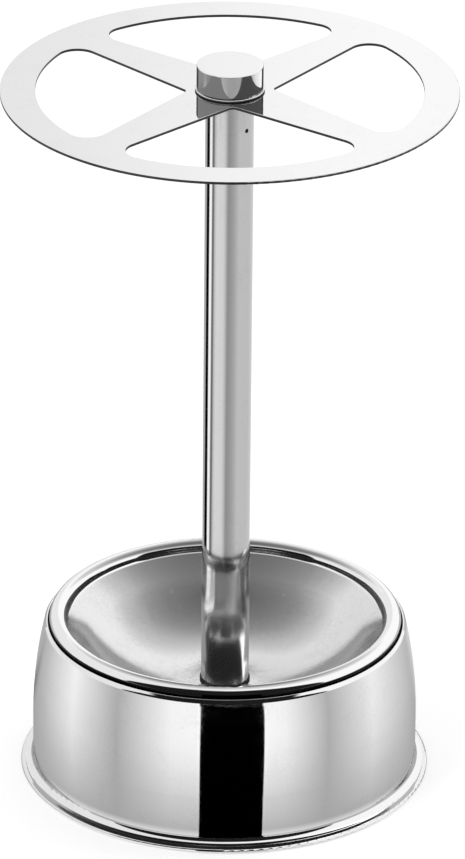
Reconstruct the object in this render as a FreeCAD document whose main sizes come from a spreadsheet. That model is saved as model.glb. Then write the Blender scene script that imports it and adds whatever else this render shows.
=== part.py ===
import FreeCAD, Part

import math
import os

import Sketcher

# Umbrella stand: a weighted round base with a drip bowl, a central column and a flat ring with
# four openings, clamped by a round cap that screws into the column.
# Millimetres, +Z up, origin on the floor at the centre of the base.

DIMENSIONS = [
    # Top ring
    ("ring_radius", 150, "outer radius of the ring"),
    ("ring_thick", 2, "thickness of the ring's plate"),
    ("ring_band", 23.1, "width of the band outside the openings"),
    ("ring_edge", 0.4, "rounding of the plate's edges"),
    ("ring_turned", 4.06, "angle that the ring stands turned by, in degrees"),
    ("opening_count", 4, "number of openings"),
    ("opening_start", 27.8, "from the axis to the meeting point of an opening's straight edges"),
    ("opening_half_angle", 49.8, "angle between an opening's middle and its straight edge, in degrees"),
    ("opening_corner", 13.5, "rounding of an opening's two outer corners"),
    ("opening_point", 3.5, "rounding of an opening's inner point"),
    # Cap
    ("cap_radius", 21.8, "radius of the cap"),
    ("cap_height", 16.8, "height of the cap"),
    ("cap_top_edge", 1.2, "rounding of the cap's top edge"),
    ("cap_low_edge", 0.6, "rounding of the cap's lower edge"),
    ("cap_bore_depth", 11.1, "depth of the cap's threaded bore"),
    ("cap_boss_radius", 8, "radius of the boss that centres the cap's washer"),
    ("cap_boss_height", 0.6, "height of that boss"),
    ("cap_washer_radius", 22.8, "radius of the washer under the cap"),
    ("cap_washer_thick", 1.7, "thickness of that washer"),
    ("cap_washer_edge", 0.4, "rounding of that washer's outer edges"),
    ("stud_radius", 5, "radius of the cap's threaded stud"),
    ("stud_length", 25, "length of the stud"),
    ("stud_point", 0.8, "bevel at the ends of the stud"),
    # Column
    ("tube_radius", 16, "outer radius of the column tube"),
    ("tube_wall", 1.2, "wall of the column tube"),
    ("tube_length", 424.5, "length of the column tube"),
    ("top_plug_length", 34, "length of the plug in the top of the tube"),
    ("top_plug_bore", 27, "depth of the top plug's threaded bore"),
    ("spigot_radius", 8, "radius of the spigot that the ring turns on"),
    ("spigot_short", 0.2, "how far the spigot ends below the ring's face"),
    ("ring_washer_thick", 0.6, "thickness of the slide washer under the ring"),
    ("ring_washer_margin", 0.3, "how far that washer stays inside the tube's outline"),
    ("bottom_plug_end", 5, "solid end of the plug in the foot of the tube"),
    ("bottom_plug_room", 1.3, "room past the bolt's tip in the bottom plug's threaded bore"),
    ("plug_bevel", 0.8, "bevel at the ends of the plugs"),
    ("grub_azimuth", 44.6, "direction of the grub screw from the front, in degrees"),
    ("grub_drop", 21.7, "from the top of the tube down to the grub screw"),
    ("grub_radius", 1.5, "radius of the grub screw"),
    ("grub_length", 5, "length of the grub screw"),
    ("grub_recess", 0.5, "how far the grub screw lies below the tube's surface"),
    ("grub_key", 1.5, "width across flats of the grub screw's socket"),
    ("grub_key_depth", 2, "depth of that socket"),
    # Drip bowl
    ("bowl_sheet", 1, "sheet of the drip bowl"),
    ("rim_inset", 16.5, "from the shell's wall in to the middle of the bowl's rolled rim"),
    ("bead_half", 5.8, "half the width of the rolled rim"),
    ("bead_round", 5.6, "rounding of the rolled rim"),
    ("bowl_depth", 50.2, "from the rim's top down to the bowl's floor"),
    ("bowl_flat_radius", 64, "radius where the bowl's floor and slope would meet"),
    ("bowl_floor_round", 100, "rounding between the bowl's floor and slope"),
    ("bowl_side_depth", 7.1, "from the rim down to where the bowl's slope and side would meet"),
    ("bowl_side_round", 3, "rounding between the bowl's slope and side"),
    # Base shell
    ("shell_sheet", 1, "sheet of the base shell"),
    ("base_radius", 128.5, "radius of the shell's wall"),
    ("base_height", 105.7, "height of the shell's shoulder"),
    ("belly_drop", 36, "from the shoulder down to where the wall would start to lean in"),
    ("belly_round", 300, "rounding of the wall"),
    ("shoulder_land", 1.4, "width of the shoulder outside the bowl's seat"),
    ("shoulder_round", 0.3, "rounding where the shoulder turns down"),
    ("shoulder_reach", 2.9, "from the bowl's seat out to where the shoulder's slope would meet the wall"),
    ("shoulder_drop", 1.9, "how far the shoulder's slope falls on the way there"),
    ("shoulder_bend", 3, "rounding between the shoulder's slope and the wall"),
    ("seat_edge_round", 0.9, "inner rounding of the shoulder"),
    ("seat_depth", 7.3, "depth of the bowl's seat below the shoulder"),
    ("seat_corner_round", 1.5, "rounding in the corner of the seat"),
    ("cove_round", 4.5, "rounding of the cove above the base plate"),
    ("shell_foot_reach", 5, "how far the cove reaches out from the wall"),
    # Base plate, ballast and feet
    ("plate_reach", 8, "how far the base plate reaches out from the wall"),
    ("plate_thick", 2.5, "thickness of the base plate"),
    ("plate_edge", 1.15, "rounding of the base plate's edge"),
    ("plate_hole_radius", 15, "radius of the opening for the column bolt"),
    ("foot_thick", 0.9, "thickness of the rubber foot ring"),
    ("foot_inset", 5, "from the base plate's edge in to the foot ring"),
    ("foot_width", 20, "width of the foot ring"),
    ("ballast_thick", 10, "thickness of the ballast's disc"),
    ("ballast_clearance", 4, "gap between the ballast and the shell's wall"),
    ("ballast_edge", 1.5, "rounding of the ballast's edges"),
    ("boss_root_radius", 34, "radius of the boss at its root"),
    ("boss_top_radius", 22, "radius of the boss at its top"),
    ("bolt_pocket_radius", 14, "radius of the pocket for the bolt's head"),
    ("bolt_pocket_depth", 12, "depth of that pocket"),
    # Fasteners
    ("bolt_radius", 5, "radius of the column bolt"),
    ("bolt_length", 70, "length of the column bolt under its head"),
    ("bolt_head_flats", 16, "width across flats of the bolt's head"),
    ("bolt_head_height", 6.4, "height of the bolt's head"),
    ("bolt_washer_radius", 10, "radius of the bolt's flat washer"),
    ("bolt_washer_thick", 2, "thickness of that washer"),
    ("lock_washer_radius", 9, "radius of the spring washer"),
    ("lock_washer_thick", 2.2, "thickness of the spring washer"),
    ("lock_washer_slit", 1.2, "width of the slit in the spring washer"),
    ("screw_count", 4, "number of base plate screws"),
    ("screw_circle", 80, "radius of the circle that the base plate screws lie on"),
    ("screw_radius", 2.5, "radius of a base plate screw"),
    ("screw_head_radius", 4.6, "radius of a base plate screw's head"),
    ("screw_length", 10, "length of a base plate screw with its head"),
    ("screw_key", 3, "width across flats of a base plate screw's socket"),
    ("screw_key_depth", 1.6, "depth of that socket"),
    # Seals and fits
    ("tube_seal_thick", 1.5, "thickness of the seal under the column"),
    ("tube_seal_margin", 0.8, "how far that seal shows around the tube"),
    ("rim_seal_thick", 2.1, "thickness of the seal under the bowl's rim"),
    ("rim_seal_half", 3.5, "half the width of that seal"),
    ("seat_gap", 0.1, "gap between the rolled rim and its seal"),
    ("rim_gap", 0.4, "gap between the rolled rim and the shoulder"),
    ("ledge_gap", 0.3, "gap between the bowl's side and the seat's inner edge"),
    ("thread_fit", 0.05, "radial clearance of threads and plugs"),
    ("turn_fit", 0.1, "radial clearance of the ring on its spigot and of the cap's washer"),
    ("hole_fit", 0.3, "radial clearance of through holes"),
]

document = FreeCAD.newDocument("umbrella_stand")
sheet = document.addObject("Spreadsheet::Sheet", "dims")
for row, (alias, value, meaning) in enumerate(DIMENSIONS, start=1):
    sheet.set(f"A{row}", meaning)
    sheet.set(f"B{row}", str(value))
    sheet.setAlias(f"B{row}", alias)
document.recompute()

# Heights of the seats, from the floor up
PLATE_TOP = "(dims.foot_thick + dims.plate_thick)"
BOLT_SEAT = f"({PLATE_TOP} + dims.bolt_pocket_depth)"
BOLT_WASHER_UNDERSIDE = f"({BOLT_SEAT} - dims.bolt_washer_thick)"
LOCK_WASHER_UNDERSIDE = f"({BOLT_WASHER_UNDERSIDE} - dims.lock_washer_thick)"
BOLT_TIP = f"({LOCK_WASHER_UNDERSIDE} + dims.bolt_length)"
SEAT_TOP = "(dims.base_height - dims.seat_depth)"
RIM_UNDERSIDE = f"({SEAT_TOP} + dims.rim_seal_thick + dims.seat_gap)"
RIM_TOP = f"({RIM_UNDERSIDE} + 2 * dims.bead_half)"
BOWL_FLOOR = f"({RIM_TOP} - dims.bowl_depth)"
BOSS_HEIGHT = f"({BOWL_FLOOR} - dims.bowl_sheet - {PLATE_TOP})"
TUBE_FOOT = f"({BOWL_FLOOR} + dims.tube_seal_thick)"
TUBE_TOP = f"({TUBE_FOOT} + dims.tube_length)"
RING_UNDERSIDE = f"({TUBE_TOP} + dims.ring_washer_thick)"
RING_TOP = f"({RING_UNDERSIDE} + dims.ring_thick)"
CAP_UNDERSIDE = f"({RING_TOP} + dims.cap_washer_thick)"

# Radii that mating pieces share
PLATE_RADIUS = "(dims.base_radius + dims.plate_reach)"
RIM_RADIUS = "(dims.base_radius - dims.rim_inset)"
TUBE_BORE = "(dims.tube_radius - dims.tube_wall)"
PLUG_RADIUS = f"({TUBE_BORE} - dims.thread_fit)"
BOWL_MOUTH = f"({RIM_RADIUS} - dims.bead_half)"
RIM_OUTSIDE = f"({RIM_RADIUS} + dims.bead_half)"
FOOT_SURFACE = f"({PLATE_TOP} + dims.shell_sheet)"

UPRIGHT = FreeCAD.Rotation(FreeCAD.Vector(1, 0, 0), 90)
HEXAGON_ASPECT = math.cos(math.pi / 6)

parts = {}


def number(expression):
    """Value of an expression written with the sheet's names."""
    return float(sheet.evalExpression(expression))


def keep(shape_object, label):
    """Give a finished sub-part its name and list it for writing."""
    shape_object.Label = label
    parts[label] = shape_object
    return shape_object


def lift(shape_object, height):
    """Bind a piece's height above the floor."""
    shape_object.setExpression("Placement.Base.z", height)
    return shape_object


def origin_feature(body, role):
    """One of a body's own origin planes or axes."""
    for feature in body.Origin.OriginFeatures:
        if feature.Role == role:
            return feature
    raise ValueError(f"{body.Name} has no {role}")


def sketch_on(body, plane, name):
    """A sketch on one of a body's own origin planes."""
    sketch = body.newObject("Sketcher::SketchObject", name)
    sketch.AttachmentSupport = (origin_feature(body, plane), [""])
    sketch.MapMode = "FlatFace"
    return sketch


def bind(sketch, constraint, expression):
    """Add a constraint whose size follows an expression."""
    index = sketch.addConstraint(constraint)
    sketch.setExpression(f"Constraints[{index}]", expression)


def place_point(sketch, geometry, end, corner):
    """Bind both coordinates of a point of a sketch."""
    across, upward = corner[0], corner[1]
    bind(sketch, Sketcher.Constraint("DistanceX", geometry, end, number(across)), across)
    bind(sketch, Sketcher.Constraint("DistanceY", geometry, end, number(upward)), upward)


def rounding_arc(corner, before, after, radius):
    """Arc that rounds a corner, with its two tangent points and its sense."""
    inward = (corner - before).normalize()
    outward = (after - corner).normalize()
    turn = inward.getAngle(outward)
    setback = radius * math.tan(turn / 2)
    start = corner - inward * setback
    finish = corner + outward * setback
    left_turn = inward.cross(outward).z > 0
    side = FreeCAD.Vector(-inward.y, inward.x, 0) * (1 if left_turn else -1)
    centre = start + side * radius
    angles = [math.atan2(point.y - centre.y, point.x - centre.x) for point in (start, finish)]
    if not left_turn:
        angles.reverse()
    if angles[1] < angles[0]:
        angles[1] += 2 * math.pi
    circle = Part.Circle(centre, FreeCAD.Vector(0, 0, 1), radius)
    return Part.ArcOfCircle(circle, angles[0], angles[1]), start, finish, left_turn


def draw_outline(sketch, corners, closed=True):
    """Straight runs through the corners; a corner's third value is the radius that rounds it."""
    count = len(corners)
    points = [FreeCAD.Vector(number(corner[0]), number(corner[1]), 0) for corner in corners]
    starts = list(points)
    finishes = list(points)
    arcs = {}
    for index, corner in enumerate(corners):
        if len(corner) == 3:
            arc, starts[index], finishes[index], left_turn = rounding_arc(
                points[index], points[index - 1], points[(index + 1) % count], number(corner[2]))
            arcs[index] = (sketch.addGeometry(arc), left_turn)
    lines = {}
    for index in range(count if closed else count - 1):
        following = (index + 1) % count
        run = Part.LineSegment(finishes[index], starts[following])
        lines[index] = sketch.addGeometry(run)
    for index, corner in enumerate(corners):
        before = lines.get((index - 1) % count) if closed or index > 0 else None
        after = lines.get(index)
        if index in arcs:
            arc, left_turn = arcs[index]
            first, last = (1, 2) if left_turn else (2, 1)
            vertex = sketch.addGeometry(Part.Point(points[index]), True)
            place_point(sketch, vertex, 1, corner)
            sketch.addConstraint(Sketcher.Constraint("PointOnObject", vertex, 1, before))
            sketch.addConstraint(Sketcher.Constraint("PointOnObject", vertex, 1, after))
            sketch.addConstraint(Sketcher.Constraint("Tangent", before, 2, arc, first))
            sketch.addConstraint(Sketcher.Constraint("Tangent", arc, last, after, 1))
            bind(sketch, Sketcher.Constraint("Radius", arc, number(corner[2])), corner[2])
        elif before is None:
            place_point(sketch, after, 1, corner)
        elif after is None:
            place_point(sketch, before, 2, corner)
        else:
            sketch.addConstraint(Sketcher.Constraint("Coincident", before, 2, after, 1))
            place_point(sketch, before, 2, corner)


def turned(name, corners, height="0"):
    """A body turned about the vertical axis from an outline of (radius, height) corners."""
    body = document.addObject("PartDesign::Body", name)
    sketch = sketch_on(body, "XZ_Plane", f"{name}_outline")
    draw_outline(sketch, corners)
    turning = body.newObject("PartDesign::Revolution", f"{name}_turning")
    turning.Profile = sketch
    turning.ReferenceAxis = (sketch, ["V_Axis"])
    turning.Angle = 360
    sketch.Visibility = False
    return lift(body, height)


def flat_ring(name, inner, outer, thick, height):
    """A flat ring: a washer, a seal or a foot."""
    corners = [(inner, "0"), (outer, "0"), (outer, thick), (inner, thick)]
    return turned(name, corners, height)


def spun_sheet(name, corners, sheet_thick):
    """Sheet metal turned about the vertical axis, laid on the left of its visible line."""
    line = document.addObject("Sketcher::SketchObject", f"{name}_line")
    line.Placement = FreeCAD.Placement(FreeCAD.Vector(0, 0, 0), UPRIGHT)
    draw_outline(line, corners, closed=False)
    section = document.addObject("Part::Offset2D", f"{name}_section")
    section.Source = line
    section.Mode = "Skin"
    section.Join = "Intersection"
    section.Fill = True
    section.setExpression("Value", sheet_thick)
    turning = document.addObject("Part::Revolution", f"{name}_turning")
    turning.Source = section
    turning.Axis = FreeCAD.Vector(0, 0, 1)
    turning.Base = FreeCAD.Vector(0, 0, 0)
    turning.Angle = 360
    turning.Solid = True
    return turning


def cylinder(name, radius, length, height="0"):
    """An upright cylinder."""
    solid = document.addObject("Part::Cylinder", name)
    solid.setExpression("Radius", radius)
    solid.setExpression("Height", length)
    return lift(solid, height)


def hexagon(name, flats, length, height="0"):
    """An upright hexagonal prism, sized across its flats."""
    prism = document.addObject("Part::Prism", name)
    prism.Polygon = 6
    prism.setExpression("Circumradius", f"{flats} / 2 / {HEXAGON_ASPECT}")
    prism.setExpression("Height", length)
    return lift(prism, height)


def cut(name, base, tool):
    """The base without the tool."""
    result = document.addObject("Part::Cut", name)
    result.Base = base
    result.Tool = tool
    return result


def drill_sideways(name, radius):
    """A cylinder from the column's axis out through its wall, where the grub screw sits."""
    drill = document.addObject("Part::Cylinder", name)
    drill.setExpression("Radius", radius)
    drill.setExpression("Height", "2 * dims.tube_radius")
    drill.setExpression("Placement", grub_placement("0"))
    return drill


def grub_placement(distance):
    """Placement that turns an upright piece to the grub screw's direction, at a distance out."""
    direction = "rotation(dims.grub_azimuth; 0; 90)"
    outward = f"vector({distance} * sin(dims.grub_azimuth); -{distance} * cos(dims.grub_azimuth); "
    return f"placement({outward}{TUBE_TOP} - dims.grub_drop); {direction})"


def make_foot_ring():
    outer = f"({PLATE_RADIUS} - dims.foot_inset)"
    inner = f"({outer} - dims.foot_width)"
    keep(flat_ring("foot_ring", inner, outer, "dims.foot_thick", "0"), "foot_ring")


def screw_form(name, grow, height):
    """A countersunk screw, head down; grow widens it into the hole that takes it."""
    shank = f"(dims.screw_radius + {grow})"
    head = f"(dims.screw_head_radius + {grow})"
    bevel_top = "(dims.screw_head_radius - dims.screw_radius)"
    corners = [
        ("0", "0"),
        (head, "0"),
        (shank, bevel_top),
        (shank, f"dims.screw_length + {grow}"),
        ("0", f"dims.screw_length + {grow}"),
    ]
    return turned(name, corners, height)


def around_screw_circle(name, make_one):
    """A group of pieces spread evenly on the screw circle."""
    count = int(number("dims.screw_count"))
    pieces = []
    for index in range(count):
        piece = make_one(f"{name}_{index + 1}")
        angle = f"({index} * 360 / dims.screw_count + 45)"
        piece.setExpression("Placement.Base.x", f"dims.screw_circle * cos({angle})")
        piece.setExpression("Placement.Base.y", f"dims.screw_circle * sin({angle})")
        pieces.append(piece)
    group = document.addObject("Part::Compound", name)
    group.Links = pieces
    return group


def make_plate_screws():
    def one_screw(name):
        blank = screw_form(f"{name}_blank", "0", "0")
        socket = hexagon(f"{name}_socket", "dims.screw_key", "dims.screw_key_depth")
        return lift(cut(name, blank, socket), "dims.foot_thick")

    keep(around_screw_circle("plate_screws", one_screw), "plate_screws")


def screw_holes(name):
    return around_screw_circle(
        name, lambda hole: screw_form(hole, "dims.thread_fit", "dims.foot_thick"))


def make_base_plate():
    corners = [
        ("dims.plate_hole_radius", "0"),
        (PLATE_RADIUS, "0", "dims.plate_edge"),
        (PLATE_RADIUS, "dims.plate_thick", "dims.plate_edge"),
        ("dims.plate_hole_radius", "dims.plate_thick"),
    ]
    disc = turned("plate_disc", corners, "dims.foot_thick")
    keep(cut("base_plate", disc, screw_holes("plate_screw_holes")), "base_plate")


def make_ballast():
    bore = "(dims.bolt_radius + dims.hole_fit)"
    rim = "(dims.base_radius - dims.shell_sheet - dims.ballast_clearance)"
    corners = [
        ("dims.bolt_pocket_radius", "0"),
        (rim, "0", "dims.ballast_edge"),
        (rim, "dims.ballast_thick", "dims.ballast_edge"),
        ("dims.boss_root_radius", "dims.ballast_thick"),
        ("dims.boss_top_radius", BOSS_HEIGHT, "dims.ballast_edge"),
        (bore, BOSS_HEIGHT),
        (bore, "dims.bolt_pocket_depth"),
        ("dims.bolt_pocket_radius", "dims.bolt_pocket_depth"),
    ]
    casting = turned("ballast_casting", corners, PLATE_TOP)
    keep(cut("ballast_weight", casting, screw_holes("ballast_screw_holes")), "ballast_weight")


def make_bolt_and_washers():
    washer_bore = "(dims.bolt_radius + dims.hole_fit)"
    keep(flat_ring("bolt_washer", washer_bore, "dims.bolt_washer_radius",
                   "dims.bolt_washer_thick", BOLT_WASHER_UNDERSIDE), "bolt_washer")

    closed_ring = flat_ring("lock_washer_ring", washer_bore, "dims.lock_washer_radius",
                            "dims.lock_washer_thick", LOCK_WASHER_UNDERSIDE)
    slit = document.addObject("Part::Box", "lock_washer_slit")
    slit.setExpression("Length", "2 * dims.lock_washer_radius")
    slit.setExpression("Width", "dims.lock_washer_slit")
    slit.setExpression("Height", "2 * dims.lock_washer_thick")
    lift(slit, f"{LOCK_WASHER_UNDERSIDE} - dims.lock_washer_thick / 2")
    keep(cut("lock_washer", closed_ring, slit), "lock_washer")

    shank = cylinder("bolt_shank", "dims.bolt_radius", "dims.bolt_length", LOCK_WASHER_UNDERSIDE)
    head_underside = f"({LOCK_WASHER_UNDERSIDE} - dims.bolt_head_height)"
    head = hexagon("bolt_head", "dims.bolt_head_flats", "dims.bolt_head_height", head_underside)
    bolt = document.addObject("Part::Fuse", "column_bolt")
    bolt.Base = shank
    bolt.Tool = head
    keep(bolt, "column_bolt")


def make_base_shell():
    seat_side = f"({RIM_OUTSIDE} + dims.rim_gap)"
    seat_inner_edge = f"({BOWL_MOUTH} + dims.bowl_sheet + dims.ledge_gap)"
    corners = [
        ("dims.base_radius + dims.shell_foot_reach", FOOT_SURFACE),
        ("dims.base_radius", FOOT_SURFACE, "dims.cove_round"),
        ("dims.base_radius", "dims.base_height - dims.belly_drop", "dims.belly_round"),
        (f"{seat_side} + dims.shoulder_reach", "dims.base_height - dims.shoulder_drop", "dims.shoulder_bend"),
        (f"{seat_side} + dims.shoulder_land", "dims.base_height", "dims.shoulder_round"),
        (seat_side, "dims.base_height", "dims.seat_edge_round"),
        (seat_side, SEAT_TOP, "dims.seat_corner_round"),
        (seat_inner_edge, SEAT_TOP),
    ]
    keep(spun_sheet("base_shell", corners, "-dims.shell_sheet"), "base_shell")


def make_rim_seal():
    inner = f"({RIM_RADIUS} - dims.rim_seal_half)"
    outer = f"({RIM_RADIUS} + dims.rim_seal_half)"
    keep(flat_ring("rim_seal", inner, outer, "dims.rim_seal_thick", SEAT_TOP), "rim_seal")


def make_drip_bowl():
    corners = [
        ("dims.bolt_radius + dims.hole_fit", BOWL_FLOOR),
        ("dims.bowl_flat_radius", BOWL_FLOOR, "dims.bowl_floor_round"),
        (BOWL_MOUTH, f"{RIM_TOP} - dims.bowl_side_depth", "dims.bowl_side_round"),
        (BOWL_MOUTH, RIM_TOP, "dims.bead_round"),
        (RIM_OUTSIDE, RIM_TOP, "dims.bead_round"),
        (RIM_OUTSIDE, RIM_UNDERSIDE, "dims.bead_round"),
        (RIM_RADIUS, RIM_UNDERSIDE),
    ]
    keep(spun_sheet("drip_bowl", corners, "-dims.bowl_sheet"), "drip_bowl")


def make_tube_seal():
    inner = "(dims.bolt_radius + dims.hole_fit)"
    outer = "(dims.tube_radius + dims.tube_seal_margin)"
    keep(flat_ring("tube_seal", inner, outer, "dims.tube_seal_thick", BOWL_FLOOR), "tube_seal")


def make_bottom_plug():
    bore = "(dims.bolt_radius + dims.thread_fit)"
    depth = f"({BOLT_TIP} + dims.bottom_plug_room - {TUBE_FOOT})"
    length = f"({depth} + dims.bottom_plug_end)"
    corners = [
        (bore, "0"),
        (PLUG_RADIUS, "0"),
        (PLUG_RADIUS, f"{length} - dims.plug_bevel"),
        (f"{PLUG_RADIUS} - dims.plug_bevel", length),
        ("0", length),
        ("0", depth),
        (bore, depth),
    ]
    keep(turned("bottom_plug", corners, TUBE_FOOT), "bottom_plug")


def make_column_tube():
    pipe = flat_ring("tube_pipe", TUBE_BORE, "dims.tube_radius", "dims.tube_length", TUBE_FOOT)
    hole = drill_sideways("tube_grub_hole", "dims.grub_radius + dims.thread_fit")
    keep(cut("column_tube", pipe, hole), "column_tube")


def make_top_plug():
    bore = "(dims.stud_radius + dims.thread_fit)"
    spigot_height = "(dims.ring_washer_thick + dims.ring_thick - dims.spigot_short)"
    corners = [
        (f"{PLUG_RADIUS} - dims.plug_bevel", "-dims.top_plug_length"),
        (PLUG_RADIUS, "dims.plug_bevel - dims.top_plug_length"),
        (PLUG_RADIUS, "0"),
        ("dims.spigot_radius", "0"),
        ("dims.spigot_radius", spigot_height),
        (bore, spigot_height),
        (bore, "-dims.top_plug_bore"),
        ("0", "-dims.top_plug_bore"),
        ("0", "-dims.top_plug_length"),
    ]
    blank = turned("top_plug_blank", corners, TUBE_TOP)
    hole = drill_sideways("plug_grub_hole", "dims.grub_radius + dims.thread_fit")
    keep(cut("top_plug", blank, hole), "top_plug")


def make_grub_screw():
    blank = cylinder("grub_blank", "dims.grub_radius", "dims.grub_length")
    socket_floor = "(dims.grub_length - dims.grub_key_depth)"
    socket = hexagon("grub_socket", "dims.grub_key", "2 * dims.grub_key_depth", socket_floor)
    screw = keep(cut("grub_screw", blank, socket), "grub_screw")
    inner_end = "(dims.tube_radius - dims.grub_recess - dims.grub_length)"
    screw.setExpression("Placement", grub_placement(inner_end))


def make_ring_washer():
    inner = "(dims.spigot_radius + dims.turn_fit)"
    outer = "(dims.tube_radius - dims.ring_washer_margin)"
    keep(flat_ring("ring_washer", inner, outer, "dims.ring_washer_thick", TUBE_TOP), "ring_washer")


def draw_opening(sketch):
    """Outline of one opening: two straight edges from an inner point to an arc about the axis."""
    start = number("dims.opening_start")
    lean = math.radians(number("dims.opening_half_angle"))
    point_radius = number("dims.opening_point")
    corner_radius = number("dims.opening_corner")
    outer_radius = number("dims.ring_radius - dims.ring_band")
    axis = FreeCAD.Vector(0, 0, 1)
    meeting = FreeCAD.Vector(start, 0, 0)
    along = FreeCAD.Vector(math.cos(lean), math.sin(lean), 0)
    inward = FreeCAD.Vector(math.sin(lean), -math.cos(lean), 0)
    near = meeting + along * (point_radius / math.tan(lean))
    first_centre = meeting + inward * corner_radius
    reach = first_centre.dot(along)
    spread = reach ** 2 - first_centre.dot(first_centre) + (outer_radius - corner_radius) ** 2
    far = meeting + along * (math.sqrt(spread) - reach)
    corner_centre = far + inward * corner_radius
    outer_angle = math.atan2(corner_centre.y, corner_centre.x)

    def mirrored(vector):
        return FreeCAD.Vector(vector.x, -vector.y, 0)

    quarter = math.pi / 2
    point_centre = FreeCAD.Vector(start + point_radius / math.sin(lean), 0, 0)
    upper = sketch.addGeometry(Part.LineSegment(near, far))
    lower = sketch.addGeometry(Part.LineSegment(mirrored(near), mirrored(far)))
    point_arc = sketch.addGeometry(Part.ArcOfCircle(
        Part.Circle(point_centre, axis, point_radius), lean + quarter, 3 * quarter - lean))
    upper_corner = sketch.addGeometry(Part.ArcOfCircle(
        Part.Circle(corner_centre, axis, corner_radius), outer_angle, lean + quarter))
    lower_corner = sketch.addGeometry(Part.ArcOfCircle(
        Part.Circle(mirrored(corner_centre), axis, corner_radius), -lean - quarter, -outer_angle))
    outer_arc = sketch.addGeometry(Part.ArcOfCircle(
        Part.Circle(FreeCAD.Vector(0, 0, 0), axis, outer_radius), -outer_angle, outer_angle))
    vertex = sketch.addGeometry(Part.Point(meeting), True)

    joined = [
        (upper, 1, point_arc, 1),
        (lower, 1, point_arc, 2),
        (upper, 2, upper_corner, 2),
        (lower, 2, lower_corner, 1),
        (upper_corner, 1, outer_arc, 2),
        (lower_corner, 2, outer_arc, 1),
    ]
    for ends in joined:
        sketch.addConstraint(Sketcher.Constraint("Tangent", *ends))
    sketch.addConstraint(Sketcher.Constraint("PointOnObject", vertex, 1, -1))
    sketch.addConstraint(Sketcher.Constraint("PointOnObject", vertex, 1, upper))
    sketch.addConstraint(Sketcher.Constraint("Coincident", outer_arc, 3, -1, 1))
    sketch.addConstraint(Sketcher.Constraint("Symmetric", upper, 1, lower, 1, -1))
    sketch.addConstraint(Sketcher.Constraint("Equal", upper_corner, lower_corner))
    bind(sketch, Sketcher.Constraint("DistanceX", vertex, 1, start), "dims.opening_start")
    bind(sketch, Sketcher.Constraint("Angle", upper, lean), "dims.opening_half_angle * 1 deg")
    bind(sketch, Sketcher.Constraint("Radius", point_arc, point_radius), "dims.opening_point")
    bind(sketch, Sketcher.Constraint("Radius", upper_corner, corner_radius), "dims.opening_corner")
    bind(sketch, Sketcher.Constraint("Radius", outer_arc, outer_radius),
         "dims.ring_radius - dims.ring_band")


def make_top_ring():
    bore = "(dims.spigot_radius + dims.turn_fit)"
    body = flat_ring("top_ring", bore, "dims.ring_radius", "dims.ring_thick", RING_UNDERSIDE)
    document.recompute()
    disc_volume = body.Shape.Volume

    opening = sketch_on(body, "XY_Plane", "opening_outline")
    draw_opening(opening)
    pocket = body.newObject("PartDesign::Pocket", "opening_pocket")
    pocket.Profile = opening
    pocket.Reversed = True
    pocket.setExpression("Length", "2 * dims.ring_thick")
    document.recompute()
    if body.Shape.Volume >= disc_volume:
        raise ValueError("the opening's pocket cuts nothing")

    openings = body.newObject("PartDesign::PolarPattern", "opening_pattern")
    openings.Originals = [pocket]
    openings.Axis = (origin_feature(body, "Z_Axis"), [""])
    openings.Angle = 360
    openings.setExpression("Occurrences", "dims.opening_count")
    body.Tip = openings
    document.recompute()

    level_edges = [
        f"Edge{index}"
        for index, edge in enumerate(openings.Shape.Edges, start=1)
        if edge.BoundBox.ZLength < edge.Length / 1000
    ]
    softened = body.newObject("PartDesign::Fillet", "ring_edges")
    softened.Base = (openings, level_edges)
    softened.setExpression("Radius", "dims.ring_edge")
    body.Tip = softened
    body.Placement.Rotation = FreeCAD.Rotation(FreeCAD.Vector(0, 0, 1), 1)
    body.setExpression("Placement.Rotation.Angle", "dims.ring_turned * 1 deg")
    keep(body, "top_ring")


def make_cap_washer():
    inner = "(dims.cap_boss_radius + dims.turn_fit)"
    corners = [
        (inner, "0"),
        ("dims.cap_washer_radius", "0", "dims.cap_washer_edge"),
        ("dims.cap_washer_radius", "dims.cap_washer_thick", "dims.cap_washer_edge"),
        (inner, "dims.cap_washer_thick"),
    ]
    keep(turned("cap_washer", corners, RING_TOP), "cap_washer")


def make_cap_knob():
    bore = "(dims.stud_radius + dims.thread_fit)"
    corners = [
        (bore, "-dims.cap_boss_height"),
        ("dims.cap_boss_radius", "-dims.cap_boss_height"),
        ("dims.cap_boss_radius", "0"),
        ("dims.cap_radius", "0", "dims.cap_low_edge"),
        ("dims.cap_radius", "dims.cap_height", "dims.cap_top_edge"),
        ("0", "dims.cap_height"),
        ("0", "dims.cap_bore_depth"),
        (bore, "dims.cap_bore_depth"),
    ]
    keep(turned("cap_knob", corners, CAP_UNDERSIDE), "cap_knob")


def make_centre_stud():
    tip = "(dims.stud_radius - dims.stud_point)"
    corners = [
        ("0", "0"),
        (tip, "0"),
        ("dims.stud_radius", "dims.stud_point"),
        ("dims.stud_radius", "dims.stud_length - dims.stud_point"),
        (tip, "dims.stud_length"),
        ("0", "dims.stud_length"),
    ]
    foot = f"{CAP_UNDERSIDE} + dims.cap_bore_depth - dims.stud_length"
    keep(turned("centre_stud", corners, foot), "centre_stud")


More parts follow.
